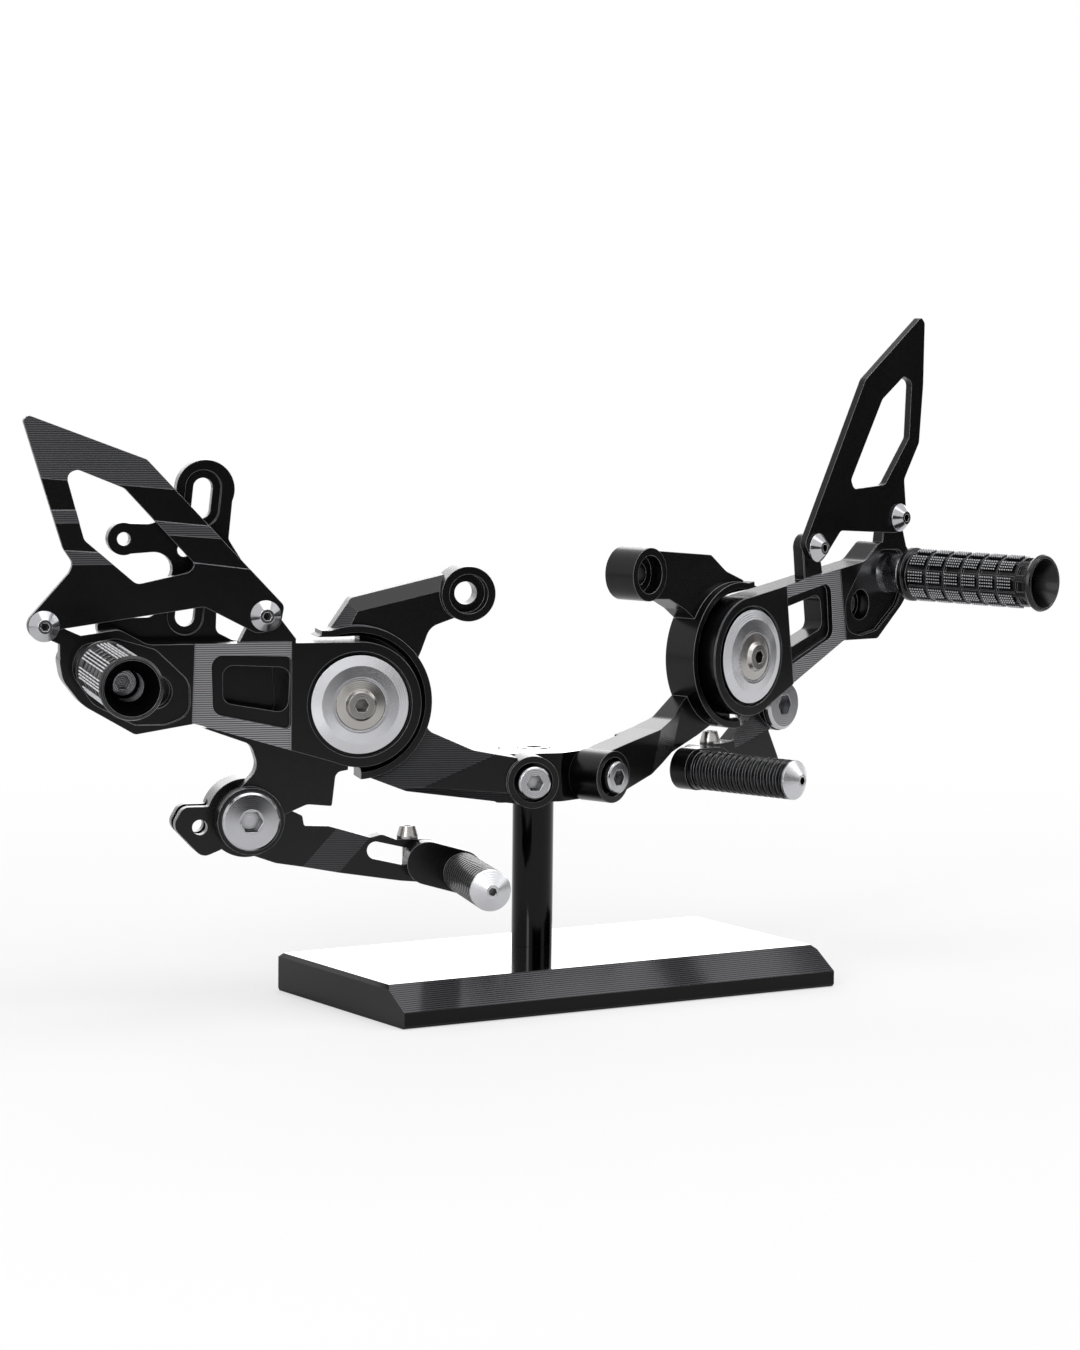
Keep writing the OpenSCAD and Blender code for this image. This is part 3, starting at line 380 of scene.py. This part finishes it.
    def lines(self, tree: bpy.types.NodeTree, place: Value, true: Value, colour: Value,
              milled: Milled) -> tuple[Value, Value]:
        """Draws the cutter's path lines on the sloped facets and on one flat face.

        Args:
            tree: The material's node tree.
            place: Socket of the point on the object.
            true: Socket of the face's own normal.
            colour: Socket of the colour without lines.
            milled: Where the lines show.

        Returns:
            Sockets of the colour and of the height for the bump.
        """
        low, high = milled.tilt
        facing = node(tree, "ShaderNodeVectorMath", {0: true, 1: milled.outward},
                      operation="DOT_PRODUCT")
        mask = node(tree, "ShaderNodeMath",
                    {0: facing.outputs["Value"], 1: (low + high) / 2, 2: (high - low) / 2},
                    operation="COMPARE").outputs[0]
        split = node(tree, "ShaderNodeSeparateXYZ", {0: place})
        rise = split.outputs["Z"]
        if milled.depth is not None:
            deep = node(tree, "ShaderNodeVectorMath", {0: place, 1: milled.outward},
                        operation="DOT_PRODUCT")
            level = node(tree, "ShaderNodeMath",
                         {0: deep.outputs["Value"], 1: milled.depth, 2: FACE_SLACK},
                         operation="COMPARE")
            band = node(tree, "ShaderNodeMath",
                        {0: rise, 1: milled.above + milled.reach / 2, 2: milled.reach / 2},
                        operation="COMPARE")
            flat = node(tree, "ShaderNodeMath", {0: level.outputs[0], 1: band.outputs[0]},
                        operation="MULTIPLY")
            mask = node(tree, "ShaderNodeMath", {0: mask, 1: flat.outputs[0]},
                        operation="MAXIMUM").outputs[0]
        waver = node(tree, "ShaderNodeTexNoise",
                     {"Vector": place, "Scale": 1 / (6 * MM), "Detail": 2.0})
        phase = node(tree, "ShaderNodeMath",
                     {0: rise, 1: TAU / milled.pitch, 2: waver.outputs["Fac"]},
                     operation="MULTIPLY_ADD")
        wave = node(tree, "ShaderNodeMath", {0: phase.outputs[0]}, operation="SINE")
        share = node(tree, "ShaderNodeMapRange",
                     {"Value": wave.outputs[0], "From Min": -1.0, "From Max": 1.0,
                      "To Min": 0.15, "To Max": 1.0})
        weight = node(tree, "ShaderNodeMath", {0: share.outputs[0], 1: mask},
                      operation="MULTIPLY")
        fade = node(tree, "ShaderNodeMath", {0: weight.outputs[0], 1: milled.tone},
                    operation="MULTIPLY")
        drawn = node(tree, "ShaderNodeMix", {0: fade.outputs[0], 6: colour,
                                             7: srgb(milled.shine)}, data_type="RGBA")
        return drawn.outputs[2], weight.outputs[0]


# Milled 6082 plate, tumbled and dyed black: satin, with a painted highlight on its edges.
ANODISED = Metal("satin_black_anodised_aluminium", "#060607", "#8e8e92", 0.24,
                 metallic=0.35, specular=0.5, relief=0.0006 * MM,
                 round_off=0.42 * MM)
# The same dyed plate cut into small teeth: the tip of each tooth gets a painted highlight.
KNURLED = Metal("knurled_black_anodised_aluminium", "#08080a", "#d8d8dc", 0.24,
                metallic=0.4, specular=0.6, round_off=0.22 * MM, tip_highlight=11.0 * MM)
# Polished before dyeing, as on the stand: clear reflections.
POLISHED = Metal("polished_black_anodised_aluminium", "#050506", "#3c3c40", 0.12,
                 metallic=0.5, specular=0.35, relief=0.001 * MM, level_coat=True)
# Fine-turned and clear-anodised discs and tip cones: grooves stretch each highlight.
# Real grooves lie about 0.15 mm apart, too fine for the render, so all turned finishes
# here have theirs drawn coarser.
# Sockets and inner corners of the turned discs get painted shade.
TURNED = Metal("fine_turned_clear_aluminium", "#c6c6ca", "#f2f2f4", 0.26,
               turned=0.9 * MM, stretch=0.85, relief=0.0005 * MM, nook_shade=0.8)
# Cold-headed and bright-turned stainless screws, with painted shade in their sockets.
STAINLESS = Metal("stainless_screw_steel", "#b6b6ba", "#ececee", 0.18,
                  turned=0.8 * MM, stretch=0.5, nook_shade=0.93)
# Bare turned titanium, warmer and darker than steel, with painted shade in its sockets.
TITANIUM = Metal("bare_turned_titanium", "#a9a6a3", "#e0dedb", 0.24,
                 turned=0.8 * MM, stretch=0.5, nook_shade=0.93)
# Turned collars, dyed grey.
COLLAR = Metal("grey_anodised_aluminium", "#b5b6ba", "#dcdce0", 0.24, metallic=1.0,
               turned=0.4 * MM, stretch=0.5)
# Sintered bronze bushes, porous and dull.
BRONZE = Metal("sintered_bronze", "#a37c4b", "#c79f6a", 0.45, grit=0.3 * MM,
               relief=0.02 * MM)

FINISH_OF_SLOT: dict[str, Metal] = {
    "anodised_black": ANODISED,
    "stand_black": POLISHED,
    "turned_aluminium": TURNED,
    "screw_steel": STAINLESS,
    "titanium": TITANIUM,
    "collar_grey": COLLAR,
    "bronze": BRONZE,
}


@dataclass
class Rearsets:
    """The CAD nodes of both sides and the stand, with their finishes.

    Attributes:
        frame: The loaded frame, with its record and its nodes.
        plain: Materials shared by every node of one slot without an axis or lines.
    """

    frame: dict[str, Any]
    plain: dict[str, bpy.types.Material] = field(default_factory=dict)

    def axis_of(self, name: str) -> Axis | None:
        """Finds the line a round node was turned about.

        Args:
            name: The CAD node's name.

        Returns:
            The line, or None where the node isn't one turned part.
        """
        for side in Side:
            if not name.startswith(side.body_words):
                continue
            words = name[len(side.body_words) + 1 :]
            spot = {"cover_disc": DISC[side], "centre_bolt": DISC[side],
                    "pivot_bolt": PIVOT[side], "toe_cone": TOE[side],
                    "toe_peg": TOE[side], "peg_collar": peg_centre(side),
                    "footpeg": peg_centre(side), "peg_bolt": peg_centre(side),
                    "mount_screw": (0.0, 0.0)}.get(words)
            if spot is not None:
                return Axis(side.at(*spot), side.outward())
        return None

    def milled_of(self, name: str) -> Milled | None:
        """Says where cutter lines show on a node.

        Args:
            name: The CAD node's name.

        Returns:
            The lined places, or None.
        """
        if name == "base_plate":
            return Milled(Vector((0, -1, 0)), tilt=(0.3, 0.7), pitch=0.6 * MM, tone=0.5,
                          shine="#8c8c90")
        for side in Side:
            if not name.startswith(side.body_words):
                continue
            words = name[len(side.body_words) + 1 :]
            if words not in ("peg_arm", "heel_guard", "lever", "frame_plate"):
                return None
            if name == "shift_heel_guard":
                return None
            face = {"peg_arm": ARM_FIELD, "heel_guard": GUARD_FACE}.get(words)
            if face is None:
                return Milled(side.outward())
            deep = side.at(0, 0, face).dot(side.outward())
            low = GUARD_LINES_FROM if words == "heel_guard" else 0.0
            shine, tone = ("#b4b4b8", 0.8) if words == "peg_arm" else ("#7a7a7e", 0.6)
            return Milled(side.outward(), depth=deep, above=low, reach=0.4, tone=tone,
                          shine=shine)
        return None

    def dress(self) -> None:
        """Gives every CAD node the finish of its material slot."""
        for part in self.frame["record"]["subparts"]:
            name, slot = part["node"], part["material_slot"]
            finish = FINISH_OF_SLOT[slot]
            axis, milled = self.axis_of(name), self.milled_of(name)
            if axis is not None and finish.turned > 0:
                made = finish.build("_" + name, axis=axis)
            elif milled is not None:
                made = finish.build("_" + name, milled=milled)
            else:
                if slot not in self.plain:
                    self.plain[slot] = finish.build()
                made = self.plain[slot]
            mesh = self.frame["nodes"][name]
            mesh.data.materials.clear()
            mesh.data.materials.append(made)
            log.info("%s: %s", name, made.name)


@dataclass
class GripTeeth:
    """Knurling cut into the footpegs: pads of small pyramids between rings and ribs.

    Attributes:
        side: The side of the pair.
        finish: Material of the teeth, the same as the peg's.
        core: Radius of the grip under the teeth.
        rise: Height of the teeth.
        first: Distance from the inner flange's back to the first pad.
        last: Distance from the same place to the end of the last pad.
        bands: Number of pads along the grip.
        ribs: Number of pads around it.
        gap: Clear width at the rings and ribs.
        rows: Teeth along one pad.
        columns: Teeth around one pad.
    """

    side: Side
    finish: bpy.types.Material
    core: float = 9.45 * MM
    rise: float = 1.7 * MM
    first: float = 5.6 * MM
    last: float = 59.4 * MM
    bands: int = 6
    ribs: int = 9
    gap: float = 2.1 * MM
    rows: int = 6
    columns: int = 4

    def build(self) -> bpy.types.Object:
        """Builds the teeth and places them on the peg.

        Returns:
            The new object.
        """
        work = bmesh.new()
        pitch = (self.last - self.first) / self.bands
        for band in range(self.bands):
            low = self.first + band * pitch + (self.gap / 2 if band else 0.3 * MM)
            high = self.first + (band + 1) * pitch - self.gap / 2
            for rib in range(self.ribs):
                clear = self.gap / 2 / self.core
                start = TAU * rib / self.ribs + clear
                sweep = TAU / self.ribs - 2 * clear
                self.pad(work, low, high, start, sweep)
        mesh = bpy.data.meshes.new(self.side.body_words + "_grip_teeth")
        work.to_mesh(mesh)
        work.free()
        spot = peg_centre(self.side)
        mesh.transform(Matrix.Translation(self.side.at(*spot, PEG_START))
                       @ self.side.frame().to_3x3().to_4x4())
        made = bpy.data.objects.new(mesh.name, mesh)
        bpy.context.collection.objects.link(made)
        mesh.materials.append(self.finish)
        return made

    def pad(self, work: bmesh.types.BMesh, low: float, high: float, start: float,
            sweep: float) -> None:
        """Adds one pad of pyramids.

        Args:
            work: The mesh that gets them.
            low: Where the pad starts along the peg.
            high: Where it ends.
            start: Angle where it starts around the peg.
            sweep: Angle that it covers.
        """
        step, turn = (high - low) / self.rows, sweep / self.columns
        for i in range(self.rows):
            for j in range(self.columns):
                z, a = low + i * step, start + j * turn
                foot = [self.point(a + turn * u, z + step * v, -0.15 * MM)
                        for u, v in ((0, 0), (1, 0), (1, 1), (0, 1))]
                top = [self.point(a + turn * u, z + step * v, self.rise)
                       for u, v in ((0.34, 0.34), (0.66, 0.34), (0.66, 0.66), (0.34, 0.66))]
                base = [work.verts.new(p) for p in foot]
                tip = [work.verts.new(p) for p in top]
                for k in range(4):
                    n = (k + 1) % 4
                    work.faces.new((base[k], base[n], tip[n], tip[k]))
                work.faces.new(tip)
                work.faces.new(base[::-1])

    def point(self, angle: float, along: float, rise: float) -> Vector:
        """Point on the grip, from its angle, its place along and its height above."""
        r = self.core + rise
        return Vector((r * math.cos(angle), r * math.sin(angle), along))


@dataclass
class BracketWeb:
    """Web of the cylinder bracket that shows dark behind the brake arm's window.

    Attributes:
        finish: Its material, the same as the bracket's.
        back: Depth of its rear face.
        front: Depth of its front face, just behind the arm.
        bevel: Width of its broken edges.
        outline: Its corners in the brake side's frame, in millimetres.
    """

    finish: bpy.types.Material
    back: float = -13.3
    front: float = -7.5
    bevel: float = 0.4 * MM
    outline: tuple[tuple[float, float], ...] = (
        (-106.0, 29.0), (-96.2, 29.0), (-96.2, 55.0), (-106.0, 55.0))

    def build(self) -> bpy.types.Object:
        """Builds the web and places it behind the arm.

        Returns:
            The new object.
        """
        work = bmesh.new()
        foot = [work.verts.new(Vector((x, y, self.back)) * MM) for x, y in self.outline]
        face = work.faces.new(foot)
        grown = bmesh.ops.extrude_face_region(work, geom=[face])
        lift = Vector((0, 0, self.front - self.back)) * MM
        moved = [v for v in grown["geom"] if isinstance(v, bmesh.types.BMVert)]
        bmesh.ops.translate(work, verts=moved, vec=lift)
        bmesh.ops.recalc_face_normals(work, faces=work.faces)
        rims = [e for e in work.edges if abs(e.verts[0].co.z - e.verts[1].co.z) < 1e-6]
        bmesh.ops.bevel(work, geom=rims, offset=self.bevel, segments=2, affect="EDGES")
        mesh = bpy.data.meshes.new("cylinder_bracket_web")
        work.to_mesh(mesh)
        work.free()
        mesh.transform(Side.BRAKE.frame())
        made = bpy.data.objects.new(mesh.name, mesh)
        bpy.context.collection.objects.link(made)
        mesh.materials.append(self.finish)
        return made


@dataclass(frozen=True)
class Flag:
    """One black panel that only reflections see, to keep flat black faces deep.

    Attributes:
        name: Name of the panel.
        towards: Direction from the object to the panel, in degrees from the front.
        far: Distance in metres.
        wide: Width in metres.
        high: Height in metres above the floor.
    """

    name: str
    towards: float
    far: float
    wide: float
    high: float


@dataclass(frozen=True)
class Lamp:
    """One soft box, aimed at the object.

    Attributes:
        name: Name of the lamp.
        place: Where it stands, in metres.
        wide: Its width in metres.
        high: Its height in metres.
        power: Its power in watts.
    """

    name: str
    place: tuple[float, float, float]
    wide: float
    high: float
    power: float


@dataclass
class Studio:
    """White sweep, soft boxes and the camera of the product shot.

    Attributes:
        aim: Point that the lamps face, in metres.
        lamps: The soft boxes.
        flags: The black panels.
    """

    aim: tuple[float, float, float] = (0.0, 0.0, 0.1)
    lamps: tuple[Lamp, ...] = (
        Lamp("top_box", (0.0, -0.2, 1.5), 1.3, 1.3, 9.0),
        Lamp("left_strip", (-1.3, -0.9, 0.7), 0.35, 1.2, 9.0),
        Lamp("right_strip", (1.2, -0.7, 0.8), 0.35, 1.2, 5.0),
        Lamp("back_box", (0.3, 1.4, 0.9), 1.2, 0.5, 5.0),
        Lamp("low_back_box", (0.95, 1.5, 0.3), 1.6, 0.5, 5.5),
    )
    flags: tuple[Flag, ...] = (
        Flag("front_flag", -4.0, 0.95, 0.9, 0.42),
        Flag("right_flag", 68.0, 0.95, 0.9, 0.42),
    )

    def hang(self) -> None:
        """Hangs the black panels."""
        made = bpy.data.materials.new("black_cloth_flag")
        made.use_nodes = True
        tree = made.node_tree
        tree.nodes.clear()
        out = node(tree, "ShaderNodeOutputMaterial")
        cloth = node(tree, "ShaderNodeBsdfDiffuse", {"Color": srgb("#0c0c0c")})
        tree.links.new(cloth.outputs[0], out.inputs["Surface"])
        for flag in self.flags:
            mesh = bpy.data.meshes.new(flag.name)
            half = flag.wide / 2
            mesh.from_pydata([(-half, 0, 0.002), (half, 0, 0.002), (half, 0, flag.high),
                              (-half, 0, flag.high)], [], [(0, 1, 2, 3)])
            mesh.materials.append(made)
            panel = bpy.data.objects.new(flag.name, mesh)
            bpy.context.collection.objects.link(panel)
            panel.matrix_world = (Matrix.Rotation(math.radians(flag.towards), 4, "Z")
                                  @ Matrix.Translation((0, -flag.far, 0)))
            panel.visible_camera = False
            panel.visible_diffuse = False
            panel.visible_shadow = False
            panel.visible_transmission = False

    def floor(self) -> None:
        """Lays the pale floor that catches the soft shadow."""
        bpy.ops.mesh.primitive_plane_add(size=8.0, location=(0, 0, -0.0002))
        plane = bpy.context.object
        plane.name = "floor"
        made = bpy.data.materials.new("white_paper_sweep")
        made.use_nodes = True
        tree = made.node_tree
        tree.nodes.clear()
        out = node(tree, "ShaderNodeOutputMaterial")
        paper = node(tree, "ShaderNodeBsdfDiffuse", {"Color": srgb("#f8f8f8")})
        glow = node(tree, "ShaderNodeEmission", {"Color": srgb("#ffffff"), "Strength": 1.0})
        seen = node(tree, "ShaderNodeLightPath")
        spot = node(tree, "ShaderNodeTexCoord")
        away = node(tree, "ShaderNodeVectorMath", {0: spot.outputs["Object"]},
                    operation="LENGTH")
        # Near the stand the paper keeps its shadow, further off it burns out to white.
        blend = node(tree, "ShaderNodeMapRange",
                     {"Value": away.outputs["Value"], "From Min": 0.2, "From Max": 0.75,
                      "To Min": 0.5, "To Max": 1.0})
        part = node(tree, "ShaderNodeMath", {0: seen.outputs["Is Camera Ray"],
                                             1: blend.outputs[0]}, operation="MULTIPLY")
        both = node(tree, "ShaderNodeMixShader", {0: part.outputs[0], 1: paper.outputs[0],
                                                  2: glow.outputs[0]})
        tree.links.new(both.outputs[0], out.inputs["Surface"])
        plane.data.materials.append(made)

    def light(self) -> None:
        """Sets the white surroundings and the soft boxes."""
        world = bpy.data.worlds.new("studio")
        bpy.context.scene.world = world
        world.use_nodes = True
        tree = world.node_tree
        tree.nodes.clear()
        out = node(tree, "ShaderNodeOutputWorld")
        path = node(tree, "ShaderNodeLightPath")
        seen = node(tree, "ShaderNodeMath", {0: path.outputs["Is Camera Ray"],
                                             1: path.outputs["Is Glossy Ray"]},
                    operation="MAXIMUM")
        white = node(tree, "ShaderNodeMath", {0: seen.outputs[0],
                                              1: path.outputs["Is Transmission Ray"]},
                     operation="MAXIMUM")
        fill = node(tree, "ShaderNodeBackground", {"Color": srgb("#ffffff"), "Strength": 0.4})
        back = node(tree, "ShaderNodeBackground", {"Color": srgb("#ffffff"), "Strength": 1.0})
        both = node(tree, "ShaderNodeMixShader", {0: white.outputs[0], 1: fill.outputs[0],
                                                  2: back.outputs[0]})
        tree.links.new(both.outputs[0], out.inputs["Surface"])
        for lamp in self.lamps:
            data = bpy.data.lights.new(lamp.name, "AREA")
            data.shape = "RECTANGLE"
            data.size, data.size_y, data.energy = lamp.wide, lamp.high, lamp.power
            made = bpy.data.objects.new(lamp.name, data)
            bpy.context.collection.objects.link(made)
            look = Vector(lamp.place) - Vector(self.aim)
            made.matrix_world = (Matrix.Translation(lamp.place)
                                 @ look.to_track_quat("Z", "Y").to_matrix().to_4x4())

    def camera(self) -> None:
        """Puts the camera where the product photograph was taken from."""
        data = bpy.data.cameras.new("camera")
        data.sensor_width, data.lens = CAMERA_SENSOR, CAMERA_LENS
        cam = bpy.data.objects.new("camera", data)
        bpy.context.collection.objects.link(cam)
        turn, pitch, roll = (math.radians(v) for v in CAMERA_ANGLES)
        level = Matrix(((math.cos(turn), -math.sin(turn), 0),
                        (math.sin(turn), math.cos(turn), 0), (0, 0, 1)))
        tilt = Matrix(((1, 0, 0), (0, math.cos(pitch), -math.sin(pitch)),
                       (0, math.sin(pitch), math.cos(pitch))))
        lean = Matrix(((math.cos(roll), 0, math.sin(roll)), (0, 1, 0),
                       (-math.sin(roll), 0, math.cos(roll))))
        look = lean @ tilt @ level
        shift = Vector(CAMERA_SHIFT) * MM
        right, ahead, up = look[0], look[1], look[2]
        axes = Matrix((right, up, -ahead)).transposed()
        cam.matrix_world = (Matrix.Translation(-(look.transposed() @ shift))
                            @ axes.to_4x4())
        data.clip_start, data.clip_end = 0.1, 20.0
        bpy.context.scene.camera = cam


def main() -> None:
    """Builds the whole scene."""
    logging.basicConfig(level=logging.INFO, format="%(name)s: %(message)s")
    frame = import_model()
    parts = Rearsets(frame)
    parts.dress()
    web = BracketWeb(parts.plain["anodised_black"]).build()
    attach(web, "rearsets")
    for side in Side:
        axis = Axis(side.at(*peg_centre(side)), side.outward())
        knurled = KNURLED.build("_" + side.body_words, axis=axis)
        teeth = GripTeeth(side, knurled).build()
        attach(teeth, "rearsets")
        log.info("%s: %d faces", teeth.name, len(teeth.data.polygons))
    studio = Studio()
    studio.floor()
    studio.hang()
    studio.light()
    studio.camera()
    bpy.context.scene.view_settings.view_transform = "Standard"


if __name__ == "__main__":
    main()
